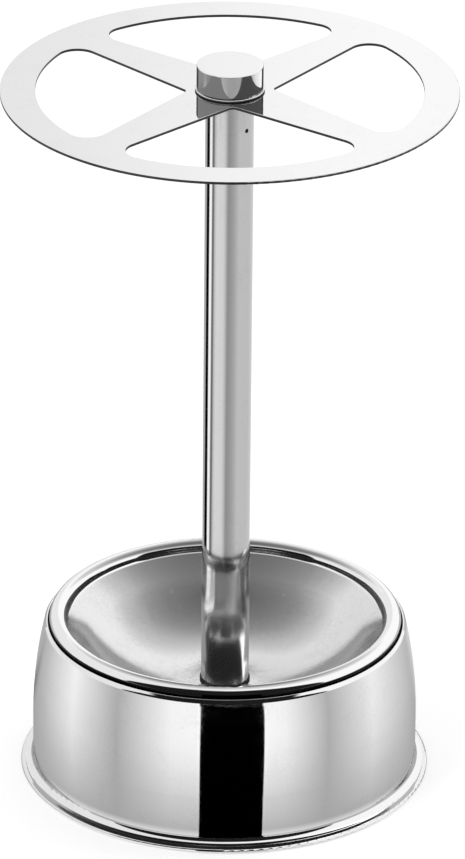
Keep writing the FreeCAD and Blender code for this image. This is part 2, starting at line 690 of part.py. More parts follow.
def write_parts():
    """Check every object of the document, then write one file for each sub-part."""
    document.recompute()
    failed = [
        item.Label for item in document.Objects
        if "Invalid" in item.State or "Error" in item.State
    ]
    if failed:
        raise ValueError(f"these objects failed: {failed}")
    loose = [
        item.Label for item in document.Objects
        if item.TypeId == "Sketcher::SketchObject" and not item.FullyConstrained
    ]
    if loose:
        raise ValueError(f"these sketches are not fully constrained: {loose}")
    for label, part in parts.items():
        if part.Shape.isNull() or not part.Shape.isValid() or not part.Shape.Solids:
            raise ValueError(f"{label} is not a valid solid")
    os.makedirs("parts", exist_ok=True)
    for label, part in parts.items():
        part.Shape.exportStep(f"parts/{label}.step")
        box = part.Shape.optimalBoundingBox(False)
        print(f"{label}: {len(part.Shape.Solids)} solid(s), {part.Shape.Volume:.0f} mm3, "
              f"z {box.ZMin:.2f} to {box.ZMax:.2f}, radius {box.XMax:.2f}")


make_foot_ring()
make_base_plate()
make_plate_screws()
make_ballast()
make_bolt_and_washers()
make_base_shell()
make_rim_seal()
make_drip_bowl()
make_tube_seal()
make_bottom_plug()
make_column_tube()
make_top_plug()
make_grub_screw()
make_ring_washer()
make_top_ring()
make_cap_washer()
make_cap_knob()
make_centre_stud()
write_parts()
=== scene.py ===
import math

import bmesh
import bpy
from mathutils import Matrix, Vector


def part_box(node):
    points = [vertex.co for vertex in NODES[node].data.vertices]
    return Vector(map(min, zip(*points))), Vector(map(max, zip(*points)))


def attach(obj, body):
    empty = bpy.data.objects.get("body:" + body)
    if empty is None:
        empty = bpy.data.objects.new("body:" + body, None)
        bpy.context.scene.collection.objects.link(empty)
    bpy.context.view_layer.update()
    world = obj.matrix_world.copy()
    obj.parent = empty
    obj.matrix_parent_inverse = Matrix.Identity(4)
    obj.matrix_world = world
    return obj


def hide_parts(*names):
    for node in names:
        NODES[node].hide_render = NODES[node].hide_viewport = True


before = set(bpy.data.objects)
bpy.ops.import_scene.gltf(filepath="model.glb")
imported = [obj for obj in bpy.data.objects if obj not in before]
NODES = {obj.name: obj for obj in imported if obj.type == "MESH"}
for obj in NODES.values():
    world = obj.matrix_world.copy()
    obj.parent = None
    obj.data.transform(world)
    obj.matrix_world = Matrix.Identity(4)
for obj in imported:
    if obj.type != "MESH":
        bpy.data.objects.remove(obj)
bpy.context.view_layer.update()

# A stainless steel umbrella stand: polished ring, cap and base, a satin column and a spun bowl.
# Metres, +Z up, the stand's front towards -Y.

scene = bpy.context.scene

MM = 0.001
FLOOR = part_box("foot_ring")[0].z
RING_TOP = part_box("top_ring")[1].z
RIM_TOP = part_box("drip_bowl")[1].z
RIM_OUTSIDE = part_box("drip_bowl")[1].x
SHELL_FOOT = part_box("base_shell")[1].x
SHELL_FOOT_REACH = 5 * MM
WALL_RADIUS = SHELL_FOOT - SHELL_FOOT_REACH


# ---------------------------------------------------------------- node helpers

def add_node(tree, kind, inputs=None, **settings):
    """A node with its settings and plain input values."""
    made = tree.nodes.new(kind)
    for name, value in settings.items():
        setattr(made, name, value)
    for name, value in (inputs or {}).items():
        made.inputs[name].default_value = value
    return made


def math_node(tree, operation, first, second=None, third=None, clamp=False):
    """The output of a Math node; each argument is a socket or a number."""
    made = add_node(tree, "ShaderNodeMath", operation=operation, use_clamp=clamp)
    for index, value in enumerate((first, second, third)):
        if value is None:
            continue
        if isinstance(value, (int, float)):
            made.inputs[index].default_value = value
        else:
            tree.links.new(value, made.inputs[index])
    return made.outputs[0]


def remap(tree, value, low, high, to_low=0.0, to_high=1.0, smooth=False):
    """The output of a clamped Map Range node."""
    made = add_node(tree, "ShaderNodeMapRange")
    made.interpolation_type = "SMOOTHSTEP" if smooth else "LINEAR"
    made.inputs["From Min"].default_value = low
    made.inputs["From Max"].default_value = high
    made.inputs["To Min"].default_value = to_low
    made.inputs["To Max"].default_value = to_high
    tree.links.new(value, made.inputs["Value"])
    return made.outputs["Result"]


def mix_colour(tree, mask, first, second, blend="MIX"):
    """The output of a colour Mix node; colours are sockets or RGB values."""
    made = add_node(tree, "ShaderNodeMix", data_type="RGBA", blend_type=blend)
    if isinstance(mask, (int, float)):
        made.inputs[0].default_value = mask
    else:
        tree.links.new(mask, made.inputs[0])
    for socket, value in ((made.inputs[6], first), (made.inputs[7], second)):
        if isinstance(value, tuple):
            socket.default_value = (*value, 1.0)
        else:
            tree.links.new(value, socket)
    return made.outputs[2]


def noise(tree, vector, scale, detail=2.0, roughness=0.5, distortion=0.0):
    """The 0 to 1 output of a Noise Texture."""
    made = add_node(tree, "ShaderNodeTexNoise", {
        "Scale": scale, "Detail": detail, "Roughness": roughness, "Distortion": distortion})
    tree.links.new(vector, made.inputs["Vector"])
    return made.outputs["Fac"]


def new_group(name, inputs, outputs):
    """An empty shader node group, with its input and output nodes."""
    tree = bpy.data.node_groups.new(name, "ShaderNodeTree")
    for socket_name, default in inputs.items():
        socket = tree.interface.new_socket(socket_name, in_out="INPUT", socket_type="NodeSocketFloat")
        socket.default_value = default
    for socket_name, kind in outputs.items():
        tree.interface.new_socket(socket_name, in_out="OUTPUT", socket_type=kind)
    return tree, tree.nodes.new("NodeGroupInput"), tree.nodes.new("NodeGroupOutput")


def use_group(tree, group, **values):
    """A group placed in a material with that material's own values."""
    made = add_node(tree, "ShaderNodeGroup")
    made.node_tree = group
    for name, value in values.items():
        made.inputs[name.replace("_", " ")].default_value = value
    return made


def around_axis(tree):
    """Radius, height and angle about the stand's axis, in metres and turns."""
    place = object_place(tree)
    split = add_node(tree, "ShaderNodeSeparateXYZ")
    tree.links.new(place, split.inputs[0])
    x, y, z = split.outputs
    square = math_node(tree, "ADD", math_node(tree, "MULTIPLY", x, x), math_node(tree, "MULTIPLY", y, y))
    radius = math_node(tree, "SQRT", square)
    turns = math_node(tree, "DIVIDE", math_node(tree, "ARCTAN2", y, x), 2 * math.pi)
    return place, radius, z, turns


def object_place(tree):
    """The piece's own coordinates, in metres."""
    return add_node(tree, "ShaderNodeTexCoord").outputs["Object"]


def divided(tree, vector, divisor):
    """A vector divided by one socket's value."""
    made = add_node(tree, "ShaderNodeVectorMath", operation="DIVIDE")
    tree.links.new(vector, made.inputs[0])
    tree.links.new(divisor, made.inputs[1])
    return made.outputs[0]


def vector_of(tree, x, y, z):
    """A vector from three sockets or numbers."""
    made = add_node(tree, "ShaderNodeCombineXYZ")
    for index, value in enumerate((x, y, z)):
        if isinstance(value, (int, float)):
            made.inputs[index].default_value = value
        else:
            tree.links.new(value, made.inputs[index])
    return made.outputs[0]


# ---------------------------------------------------------------- shared effects

def build_turned_grain():
    """Fine lines around the stand's axis, as a lathe tool or a polishing belt leaves them."""
    tree, given, result = new_group(
        "turned_grain", {"Spacing": 0.0004, "Drift": 0.5}, {"Lines": "NodeSocketFloat"})
    _, radius, height, turns = around_axis(tree)
    across = math_node(tree, "DIVIDE", math_node(tree, "ADD", radius, height), given.outputs["Spacing"])
    second = math_node(tree, "DIVIDE", math_node(tree, "SUBTRACT", radius, height), given.outputs["Spacing"])
    along = math_node(tree, "MULTIPLY", turns, given.outputs["Drift"])
    lines = noise(tree, vector_of(tree, across, second, along), 1.0, 3.0, 0.6)
    tree.links.new(lines, result.inputs["Lines"])
    return tree


def build_hand_marks():
    """Soft smears left by hands and cloths on polished metal."""
    tree, given, result = new_group(
        "hand_marks", {"Size": 0.03, "Cover": 0.5}, {"Mask": "NodeSocketFloat"})
    scaled = divided(tree, object_place(tree), given.outputs["Size"])
    patches = noise(tree, scaled, 1.0, 4.0, 0.55, 0.8)
    streaks = noise(tree, scaled, 5.0, 2.0, 0.7, 2.5)
    both = math_node(tree, "MULTIPLY", patches, streaks)
    low = math_node(tree, "MULTIPLY_ADD", given.outputs["Cover"], -0.25, 0.38)
    mask = math_node(tree, "MULTIPLY", math_node(tree, "SUBTRACT", both, low), 6.0, clamp=True)
    tree.links.new(mask, result.inputs["Mask"])
    return tree


def build_hairlines():
    """Hair-fine scratches that run every way, as cleaning leaves them."""
    tree, given, result = new_group(
        "hairlines", {"Length": 0.03, "Amount": 0.5}, {"Mask": "NodeSocketFloat"})
    place = object_place(tree)
    total = None
    for turn, squeeze in ((0.4, 60.0), (1.7, 75.0), (2.6, 50.0)):
        turned = add_node(tree, "ShaderNodeVectorRotate", rotation_type="EULER_XYZ")
        turned.inputs["Rotation"].default_value = (turn * 0.7, turn * 1.3, turn)
        tree.links.new(place, turned.inputs["Vector"])
        scaled = divided(tree, turned.outputs[0], given.outputs["Length"])
        stretched = add_node(tree, "ShaderNodeVectorMath", operation="MULTIPLY")
        tree.links.new(scaled, stretched.inputs[0])
        stretched.inputs[1].default_value = (1.0, squeeze, squeeze)
        strokes = noise(tree, stretched.outputs[0], 1.0, 1.0, 0.4, 0.3)
        thin = remap(tree, strokes, 0.66, 0.72)
        total = thin if total is None else math_node(tree, "MAXIMUM", total, thin)
    mask = math_node(tree, "MULTIPLY", total, given.outputs["Amount"], clamp=True)
    tree.links.new(mask, result.inputs["Mask"])
    return tree


def build_worn_edges():
    """A mask along sharp edges, broken up by noise."""
    tree, given, result = new_group(
        "worn_edges", {"Width": 0.0005, "Breakup": 0.5}, {"Mask": "NodeSocketFloat"})
    rounded = add_node(tree, "ShaderNodeBevel", samples=4)
    tree.links.new(given.outputs["Width"], rounded.inputs["Radius"])
    flat = add_node(tree, "ShaderNodeNewGeometry")
    likeness = add_node(tree, "ShaderNodeVectorMath", operation="DOT_PRODUCT")
    tree.links.new(rounded.outputs[0], likeness.inputs[0])
    tree.links.new(flat.outputs["Normal"], likeness.inputs[1])
    edge = remap(tree, likeness.outputs["Value"], 0.995, 0.9)
    place = object_place(tree)
    chips = noise(tree, place, 220.0, 3.0, 0.6)
    broken = math_node(tree, "MULTIPLY_ADD", math_node(tree, "SUBTRACT", chips, 0.5),
                       given.outputs["Breakup"], 1.0)
    tree.links.new(math_node(tree, "MULTIPLY", edge, broken, clamp=True), result.inputs["Mask"])
    return tree


def build_settled_dust():
    """Light dust on faces that look up."""
    tree, given, result = new_group(
        "settled_dust", {"Amount": 0.3, "Grain": 0.002}, {"Mask": "NodeSocketFloat"})
    facing = add_node(tree, "ShaderNodeSeparateXYZ")
    tree.links.new(add_node(tree, "ShaderNodeNewGeometry").outputs["Normal"], facing.inputs[0])
    level = remap(tree, facing.outputs[2], 0.3, 1.0)
    specks = noise(tree, divided(tree, object_place(tree), given.outputs["Grain"]), 1.0, 5.0, 0.7)
    cover = math_node(tree, "MULTIPLY", remap(tree, specks, 0.45, 0.75), given.outputs["Amount"])
    tree.links.new(math_node(tree, "MULTIPLY", cover, level, clamp=True), result.inputs["Mask"])
    return tree


def build_water_marks():
    """Rings where drops have dried."""
    tree, given, result = new_group(
        "water_marks", {"Size": 0.012, "Amount": 0.5}, {"Mask": "NodeSocketFloat"})
    scaled = divided(tree, object_place(tree), given.outputs["Size"])
    cells = add_node(tree, "ShaderNodeTexVoronoi", {"Scale": 1.0, "Randomness": 1.0})
    tree.links.new(scaled, cells.inputs["Vector"])
    wobble = math_node(tree, "MULTIPLY", noise(tree, scaled, 3.0, 2.0), 0.12)
    distance = math_node(tree, "SUBTRACT", cells.outputs["Distance"], wobble)
    ring = math_node(tree, "SUBTRACT", 1.0, math_node(
        tree, "MULTIPLY", math_node(tree, "ABSOLUTE", math_node(tree, "SUBTRACT", distance, 0.2)), 22.0),
        clamp=True)
    kept = remap(tree, noise(tree, scaled, 0.35, 1.0), 0.5, 0.6)
    mask = math_node(tree, "MULTIPLY", math_node(tree, "MULTIPLY", ring, kept),
                     given.outputs["Amount"], clamp=True)
    tree.links.new(mask, result.inputs["Mask"])
    return tree


TURNED_GRAIN = build_turned_grain()
HAND_MARKS = build_hand_marks()
HAIRLINES = build_hairlines()
WORN_EDGES = build_worn_edges()
SETTLED_DUST = build_settled_dust()
WATER_MARKS = build_water_marks()


# ---------------------------------------------------------------- materials

def new_material(name, **plain):
    """A material with one Principled shader and that shader's plain values."""
    material = bpy.data.materials.new(name)
    material.use_nodes = True
    shader = material.node_tree.nodes["Principled BSDF"]
    for socket, value in plain.items():
        shader.inputs[socket.replace("_", " ")].default_value = value
    return material, material.node_tree, shader


def feeding(shader, socket):
    """The output that already feeds one of the shader's sockets."""
    return shader.inputs[socket].links[0].from_socket


def mix_value(tree, mask, first, second):
    """The output of a number Mix node; the two are sockets or numbers."""
    made = add_node(tree, "ShaderNodeMix", data_type="FLOAT")
    tree.links.new(mask, made.inputs[0])
    for socket, value in ((made.inputs[2], first), (made.inputs[3], second)):
        if isinstance(value, (int, float)):
            socket.default_value = value
        else:
            tree.links.new(value, socket)
    return made.outputs[0]


def bump_from(tree, shader, height, strength, distance):
    """Drive the shader's normal with a height."""
    bump = add_node(tree, "ShaderNodeBump", {"Strength": strength, "Distance": distance})
    tree.links.new(height, bump.inputs["Height"])
    tree.links.new(bump.outputs[0], shader.inputs["Normal"])


def steel(name, tint, dull_tint, smooth, grain_spacing, grain_depth, marks=0.5, scratches=0.4,
          grain_roughness=0.02):
    """Stainless steel: turned grain, smears, hairlines and brighter edges over one finish."""
    material, tree, shader = new_material(name, Metallic=1.0)
    grain = use_group(tree, TURNED_GRAIN, Spacing=grain_spacing).outputs["Lines"]
    smears = use_group(tree, HAND_MARKS, Cover=marks).outputs["Mask"]
    hairs = use_group(tree, HAIRLINES, Amount=scratches).outputs["Mask"]
    edges = use_group(tree, WORN_EDGES).outputs["Mask"]
    base = mix_colour(tree, math_node(tree, "MULTIPLY", smears, 0.35), tint, dull_tint)
    bright = tuple(min(1.0, channel * 1.08) for channel in tint)
    colour = mix_colour(tree, math_node(tree, "MULTIPLY", edges, 0.5), base, bright)
    tree.links.new(colour, shader.inputs["Base Color"])
    rough = math_node(tree, "MULTIPLY_ADD", grain, grain_roughness, smooth)
    rough = math_node(tree, "MULTIPLY_ADD", smears, 0.03, rough)
    rough = math_node(tree, "MULTIPLY_ADD", hairs, 0.08, rough, clamp=True)
    tree.links.new(rough, shader.inputs["Roughness"])
    bump_from(tree, shader, grain, 1.0, grain_depth)
    return material, tree, shader


def upright_faces(tree):
    """A mask over the faces that stand upright, and a broken edge to it."""
    facing = add_node(tree, "ShaderNodeSeparateXYZ")
    tree.links.new(add_node(tree, "ShaderNodeNewGeometry").outputs["True Normal"], facing.inputs[0])
    return remap(tree, math_node(tree, "ABSOLUTE", facing.outputs[2]), 0.85, 0.6)


def make_polished_plate():
    """The ring: flat plate, polished to a mirror, with a laser-cut edge left dark and dull."""
    material, tree, shader = steel(
        "polished_plate", (0.90, 0.90, 0.905), (0.80, 0.80, 0.80),
        0.035, 0.0009, 0.0000003, marks=0.45, scratches=0.35, grain_roughness=0.01)
    cut = upright_faces(tree)
    _, _, height, turns = around_axis(tree)
    drag = noise(tree, vector_of(tree, math_node(tree, "MULTIPLY", turns, 4000.0), height, 0.0), 1.0, 2.0)
    oxide = mix_colour(tree, drag, (0.035, 0.034, 0.033), (0.11, 0.105, 0.10))
    tree.links.new(mix_colour(tree, cut, feeding(shader, "Base Color"), oxide), shader.inputs["Base Color"])
    cut_roughness = 0.4
    tree.links.new(mix_value(tree, cut, feeding(shader, "Roughness"), cut_roughness),
                   shader.inputs["Roughness"])
    return material


def make_bonded_washer():
    """The cap's washer: a bright steel face with black rubber bonded under it."""
    material, tree, shader = steel(
        "bonded_washer", (0.90, 0.90, 0.905), (0.78, 0.78, 0.78),
        0.12, 0.0005, 0.000001, marks=0.3, scratches=0.3, grain_roughness=0.04)
    _, _, height, _ = around_axis(tree)
    middle = (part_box("cap_washer")[0].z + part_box("cap_washer")[1].z) / 2
    steel_side = remap(tree, height, middle - 0.05 * MM, middle)
    rubber, rubber_roughness = (0.012, 0.012, 0.012), 0.75
    tree.links.new(mix_colour(tree, steel_side, rubber, feeding(shader, "Base Color")),
                   shader.inputs["Base Color"])
    tree.links.new(steel_side, shader.inputs["Metallic"])
    tree.links.new(mix_value(tree, steel_side, rubber_roughness, feeding(shader, "Roughness")),
                   shader.inputs["Roughness"])
    return material


def make_polished_cap():
    """The cap: turned bar, polished."""
    return steel("polished_cap", (0.90, 0.90, 0.905), (0.78, 0.78, 0.78),
                 0.06, 0.0005, 0.0000005, marks=0.35, scratches=0.3, grain_roughness=0.03)[0]


def make_satin_tube():
    """The column: tube ground around with a fine belt."""
    return steel("satin_tube", (0.80, 0.80, 0.805), (0.70, 0.70, 0.70),
                 0.05, 0.00022, 0.000001, marks=0.5, scratches=0.25, grain_roughness=0.05)[0]


def make_polished_shell():
    """The base shell: spun sheet, polished, with faint spinning lines."""
    return steel("polished_shell", (0.88, 0.88, 0.885), (0.76, 0.76, 0.76),
                 0.03, 0.0016, 0.000001, marks=0.5, scratches=0.35, grain_roughness=0.02)[0]


# Heights under the top of the bowl's rolled rim
POLISH_STARTS = 9 * MM
POLISH_FULL = 7.5 * MM
# Where the painted gap shade starts and is full
GAP_STARTS = 3.9 * MM
GAP_FULL = 4.3 * MM


def make_spun_bowl():
    """The drip bowl: a brushed dish with dried drops, a rim polished bright, and painted shade: a dark
    band on the outside of the roll's foot, in the narrow gap outside the rim."""
    material, tree, shader = steel(
        "spun_bowl", (0.80, 0.80, 0.80), (0.66, 0.66, 0.66), 0.11, 0.0014, 0.000006,
        marks=0.6, scratches=0.4, grain_roughness=0.08)
    _, radius, height, _ = around_axis(tree)
    rim = remap(tree, height, RIM_TOP - POLISH_STARTS, RIM_TOP - POLISH_FULL, smooth=True)
    drops = use_group(tree, WATER_MARKS, Amount=0.6).outputs["Mask"]
    spotted = math_node(tree, "MULTIPLY_ADD", drops, 0.15, feeding(shader, "Roughness"))
    rim_roughness = 0.035
    tree.links.new(mix_value(tree, rim, spotted, rim_roughness), shader.inputs["Roughness"])
    chalk, bright, gap_shade = (0.6, 0.6, 0.59), (0.9, 0.9, 0.905), (0.01, 0.01, 0.01)
    colour = mix_colour(tree, math_node(tree, "MULTIPLY", drops, 0.25), feeding(shader, "Base Color"), chalk)
    colour = mix_colour(tree, rim, colour, bright)
    # Painted shade: a near-black band on the outside of the roll's foot, standing in for shade in the gap
    outside = remap(tree, radius, RIM_OUTSIDE - 1.5 * MM, RIM_OUTSIDE - 1.0 * MM)
    under = remap(tree, height, RIM_TOP - GAP_STARTS, RIM_TOP - GAP_FULL)
    colour = mix_colour(tree, math_node(tree, "MULTIPLY", outside, under), colour, gap_shade)
    tree.links.new(colour, shader.inputs["Base Color"])
    return material


def make_base_plate_steel():
    """The base plate: bright turned edge, plainer underside."""
    return steel("base_plate_steel", (0.84, 0.84, 0.845), (0.70, 0.70, 0.70),
                 0.06, 0.0006, 0.000002, marks=0.4, scratches=0.6, grain_roughness=0.06)[0]


def make_plated_steel():
    """Zinc-plated fasteners and plugs."""
    material, tree, shader = steel(
        "plated_steel", (0.62, 0.64, 0.66), (0.50, 0.51, 0.50), 0.26, 0.0003, 0.000004,
        marks=0.5, scratches=0.5, grain_roughness=0.12)
    place = object_place(tree)
    blush = remap(tree, noise(tree, place, 90.0, 3.0), 0.4, 0.7, 0.0, 0.5)
    colour = mix_colour(tree, blush, feeding(shader, "Base Color"), (0.60, 0.58, 0.48))
    tree.links.new(colour, shader.inputs["Base Color"])
    return material


def make_black_steel():
    """The grub screw: oiled black finish, rubbed bright at its edges."""
    material, tree, shader = new_material("black_steel", Metallic=1.0)
    edges = use_group(tree, WORN_EDGES, Width=0.0002).outputs["Mask"]
    place = object_place(tree)
    cloud = noise(tree, place, 600.0, 3.0)
    base = mix_colour(tree, cloud, (0.03, 0.03, 0.034), (0.07, 0.068, 0.07))
    tree.links.new(mix_colour(tree, edges, base, (0.35, 0.34, 0.33)), shader.inputs["Base Color"])
    tree.links.new(remap(tree, cloud, 0.2, 0.8, 0.3, 0.5), shader.inputs["Roughness"])
    return material


def make_black_rubber():
    """Moulded rubber: matt, faintly pebbled, a little dusty."""
    material, tree, shader = new_material("black_rubber", Specular_IOR_Level=0.35)
    place = object_place(tree)
    pebbles = noise(tree, place, 1400.0, 3.0, 0.6)
    dust = use_group(tree, SETTLED_DUST, Amount=0.4).outputs["Mask"]
    worn = use_group(tree, WORN_EDGES, Width=0.0006).outputs["Mask"]
    base = mix_colour(tree, pebbles, (0.012, 0.012, 0.013), (0.03, 0.03, 0.031))
    base = mix_colour(tree, math_node(tree, "MULTIPLY", worn, 0.3), base, (0.07, 0.07, 0.07))
    tree.links.new(mix_colour(tree, dust, base, (0.2, 0.19, 0.18)), shader.inputs["Base Color"])
    tree.links.new(remap(tree, pebbles, 0.3, 0.7, 0.62, 0.82), shader.inputs["Roughness"])
    bump_from(tree, shader, pebbles, 0.6, 0.00003)
    return material


def make_slide_nylon():
    """The slide washer: natural nylon with a soft sheen."""
    material, tree, shader = new_material("slide_nylon", Subsurface_Weight=0.15, IOR=1.53)
    shader.inputs["Subsurface Radius"].default_value = (0.002, 0.0018, 0.0014)
    place = object_place(tree)
    cloud = noise(tree, place, 160.0, 4.0)
    grease = remap(tree, noise(tree, place, 60.0, 2.0), 0.5, 0.75)
    base = mix_colour(tree, cloud, (0.80, 0.78, 0.72), (0.88, 0.87, 0.82))
    tree.links.new(mix_colour(tree, grease, base, (0.62, 0.60, 0.55)), shader.inputs["Base Color"])
    tree.links.new(remap(tree, cloud, 0.3, 0.7, 0.4, 0.55), shader.inputs["Roughness"])
    bump_from(tree, shader, cloud, 0.3, 0.00004)
    return material


def make_ballast_iron():
    """The ballast: sand-cast iron under black paint, bare where it has been knocked."""
    material, tree, shader = new_material("ballast_iron")
    place = object_place(tree)
    sand = noise(tree, place, 700.0, 6.0, 0.7)
    hollows = noise(tree, place, 45.0, 3.0)
    bare = use_group(tree, WORN_EDGES, Width=0.0012, Breakup=2.0).outputs["Mask"]
    paint = mix_colour(tree, hollows, (0.018, 0.018, 0.02), (0.04, 0.04, 0.042))
    tree.links.new(mix_colour(tree, bare, paint, (0.22, 0.20, 0.19)), shader.inputs["Base Color"])
    tree.links.new(bare, shader.inputs["Metallic"])
    tree.links.new(remap(tree, sand, 0.3, 0.7, 0.45, 0.7), shader.inputs["Roughness"])
    bump_from(tree, shader, sand, 0.8, 0.0002)
    return material


MATERIALS = {
    "polished_plate": make_polished_plate(),
    "polished_cap": make_polished_cap(),
    "bonded_washer": make_bonded_washer(),
    "satin_tube": make_satin_tube(),
    "polished_shell": make_polished_shell(),
    "spun_bowl": make_spun_bowl(),
    "base_plate_steel": make_base_plate_steel(),
    "plated_steel": make_plated_steel(),
    "black_steel": make_black_steel(),
    "black_rubber": make_black_rubber(),
    "slide_nylon": make_slide_nylon(),
    "ballast_iron": make_ballast_iron(),
}

FINISHES = {
    "top_ring": "polished_plate",
    "cap_knob": "polished_cap",
    "cap_washer": "bonded_washer",
    "centre_stud": "plated_steel",
    "column_tube": "satin_tube",
    "top_plug": "plated_steel",
    "grub_screw": "black_steel",
    "ring_washer": "slide_nylon",
    "bottom_plug": "plated_steel",
    "tube_seal": "black_rubber",
    "drip_bowl": "spun_bowl",
    "rim_seal": "black_rubber",
    "base_shell": "polished_shell",
    "ballast_weight": "ballast_iron",
    "base_plate": "base_plate_steel",
    "plate_screws": "plated_steel",
    "foot_ring": "black_rubber",
    "bolt_washer": "plated_steel",
    "lock_washer": "plated_steel",
    "column_bolt": "plated_steel",
}


# ---------------------------------------------------------------- threaded pieces

THREAD_PITCH = 1.5 * MM
THREAD_DEPTH = 0.92 * MM


def turned_piece(name, stations, body, node):
    """A closed piece from (height, radius by angle) stations; it stands for a CAD node."""
    segments = 48
    mesh = bmesh.new()
    loops = []
    for height, radius_at in stations:
        loop = []
        for index in range(segments):
            angle = 2 * math.pi * index / segments
            radius = radius_at(angle)
            loop.append(mesh.verts.new((radius * math.cos(angle), radius * math.sin(angle), height)))
        loops.append(loop)
    for lower, upper in zip(loops, loops[1:]):
        for index in range(segments):
            after = (index + 1) % segments
            mesh.faces.new((lower[index], lower[after], upper[after], upper[index]))
    mesh.faces.new(reversed(loops[0]))
    mesh.faces.new(loops[-1])
    data = bpy.data.meshes.new(name)
    mesh.to_mesh(data)
    mesh.free()
    data.shade_smooth()
    data.set_sharp_from_angle(angle=math.radians(35))
    made = bpy.data.objects.new(name, data)
    scene.collection.objects.link(made)
    data.materials.append(MATERIALS["plated_steel"])
    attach(made, body)
    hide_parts(node)
    return made


def thread_stations(foot, top, radius, low_bevel, high_bevel):
    """Stations of a right-hand thread, with its starts bevelled."""
    count = int((top - foot) / (THREAD_PITCH / 8))
    stations = []
    for step in range(count + 1):
        height = foot + (top - foot) * step / count

        def radius_at(angle, height=height):
            wave = (height / THREAD_PITCH - angle / (2 * math.pi)) % 1.0
            crest = min(1.0, max(0.0, 1.15 - 2.6 * abs(wave - 0.5)))
            ridge = radius - THREAD_DEPTH * (1.0 - crest)
            if low_bevel:
                ridge = min(ridge, radius - THREAD_DEPTH + (height - foot))
            if high_bevel:
                ridge = min(ridge, radius - THREAD_DEPTH + (top - height))
            return ridge

        stations.append((height, radius_at))
    return stations


def make_threads():
    """The cap's stud and the column bolt, with their threads and the bolt's hexagon head."""
    low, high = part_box("centre_stud")
    turned_piece("threaded_stud", thread_stations(low.z, high.z, high.x, True, True), "cap", "centre_stud")

    low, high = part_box("column_bolt")
    head_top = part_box("lock_washer")[0].z
    shank_radius = 5 * MM
    half_flats = 8 * MM
    thread_start = high.z - 26 * MM

    def hexagon(angle, corner_limit):
        lean = (angle % (math.pi / 3)) - math.pi / 6
        return min(half_flats / math.cos(lean), corner_limit)

    stations = [
        (low.z, lambda angle: hexagon(angle, half_flats * 0.96)),
        (low.z + 0.5 * MM, lambda angle: hexagon(angle, half_flats * 1.07)),
        (low.z + 0.9 * MM, lambda angle: hexagon(angle, half_flats * 1.16)),
        (head_top, lambda angle: hexagon(angle, half_flats * 1.16)),
        (head_top, lambda angle: shank_radius),
        (thread_start, lambda angle: shank_radius),
    ]
    stations += thread_stations(thread_start, high.z, shank_radius, False, True)[1:]
    turned_piece("threaded_bolt", stations, "stand", "column_bolt")


def finish_nodes():
    """Give every carried-over piece its finish."""
    for name, finish in FINISHES.items():
        piece = NODES[name]
        piece.data.materials.clear()
        piece.data.materials.append(MATERIALS[finish])


# ---------------------------------------------------------------- studio

def grid_object(name, rows):
    """A mesh of quads from rows of points, with a UV map that runs 0 to 1 both ways."""
    tall, wide = len(rows), len(rows[0])
    points = [point for row in rows for point in row]
    faces = [
        (row * wide + col, row * wide + col + 1, (row + 1) * wide + col + 1, (row + 1) * wide + col)
        for row in range(tall - 1)
        for col in range(wide - 1)
    ]
    mesh = bpy.data.meshes.new(name)
    mesh.from_pydata(points, [], faces)
    layer = mesh.uv_layers.new(name="UVMap")
    for loop in mesh.loops:
        row, col = divmod(loop.vertex_index, wide)
        layer.data[loop.index].uv = (col / (wide - 1), row / (tall - 1))
    made = bpy.data.objects.new(name, mesh)
    scene.collection.objects.link(made)
    return made


def mirrored_twice(tree):
    """1 where a mirrored ray has already met metal twice, else 0."""
    depth = add_node(tree, "ShaderNodeLightPath").outputs["Glossy Depth"]
    return math_node(tree, "GREATER_THAN", depth, 1.5)


def reflect_only(piece):
    """Only polished metal sees this piece of the studio."""
    piece.visible_camera = False
    piece.visible_diffuse = False
    piece.visible_transmission = False
    piece.visible_volume_scatter = False
    piece.visible_shadow = False


FAN_HALF_ANGLE = 89.0
FAN_START = 0.009
FAN_REACH = 4.0
FAN_LIFT = 0.4 * MM
CANOPY_PLACE = (0.0, 0.05, 0.25)
CANOPY_RADIUS = 0.20
LID_PLACE = (0.0, 0.0, 0.53)
LID_RADIUS = 0.25
FLOOR_HALF = 30.0
BLACK = 0.012

# Brightness by direction, as (degrees from the front, brightness). A wall value of 0 is the dark
# stripe, which stays dark over the whole reach.
WALL_STOPS = [
    (-89, 0.30), (-70, 0.58), (-52, 1.00), (-34, 0.47), (-16, 1.02), (-8, 1.05), (-7.1, 1.25),
    (-7.0, 0.0), (11.2, 0.0), (11.3, 1.25), (12.2, 1.06), (18, 1.0), (32, 0.48), (50, 0.96),
    (64, 0.72), (84, 0.40),
]
COLUMN_STOPS = [
    (-89, 0.9), (-78, 0.50), (-66, 0.45), (-63, 0.0), (-53, 0.0), (-51, 1.15), (-45, 1.1), (-42, 0.16),
    (-38, 0.2), (-35, 0.60), (-29, 0.82), (-12, 0.78), (-7, 0.60), (-2, 0.34), (3, 0.36), (13, 0.45),
    (25, 0.63), (55, 0.62), (72, 0.70), (89, 0.95),
]
CAP_STOPS = [
    (-89, 0.14), (-75, 0.24), (-60, 0.30), (-40, 0.26), (-20, 0.33), (0, 0.38), (18, 0.33), (35, 0.30),
    (50, 0.85), (66, 1.05), (89, 0.9),
]

# Along the fan: how much of the wall's pattern shows, and the brightness that it grows out of,
# as (share of the reach, value)
PATTERN_SHARE = [
    (0.0, 0.001), (0.0088, 0.3), (0.022, 0.6), (0.0395, 0.82), (0.067, 0.94), (0.105, 1.0),
]
FOOT_STOPS = [(0.0, 1.1), (0.0014, 1.1), (0.0026, 0.42)]

# How far a mirrored ray has come tells what it left. Each pair is the start and end of a soft
# change, in metres; the first is what the ray has come beyond its share of the radius.
RAY_PER_RADIUS = 1.105
COLUMN_AHEAD = (-0.082, -0.058)
CAP_CAME = (1.245, 1.262)

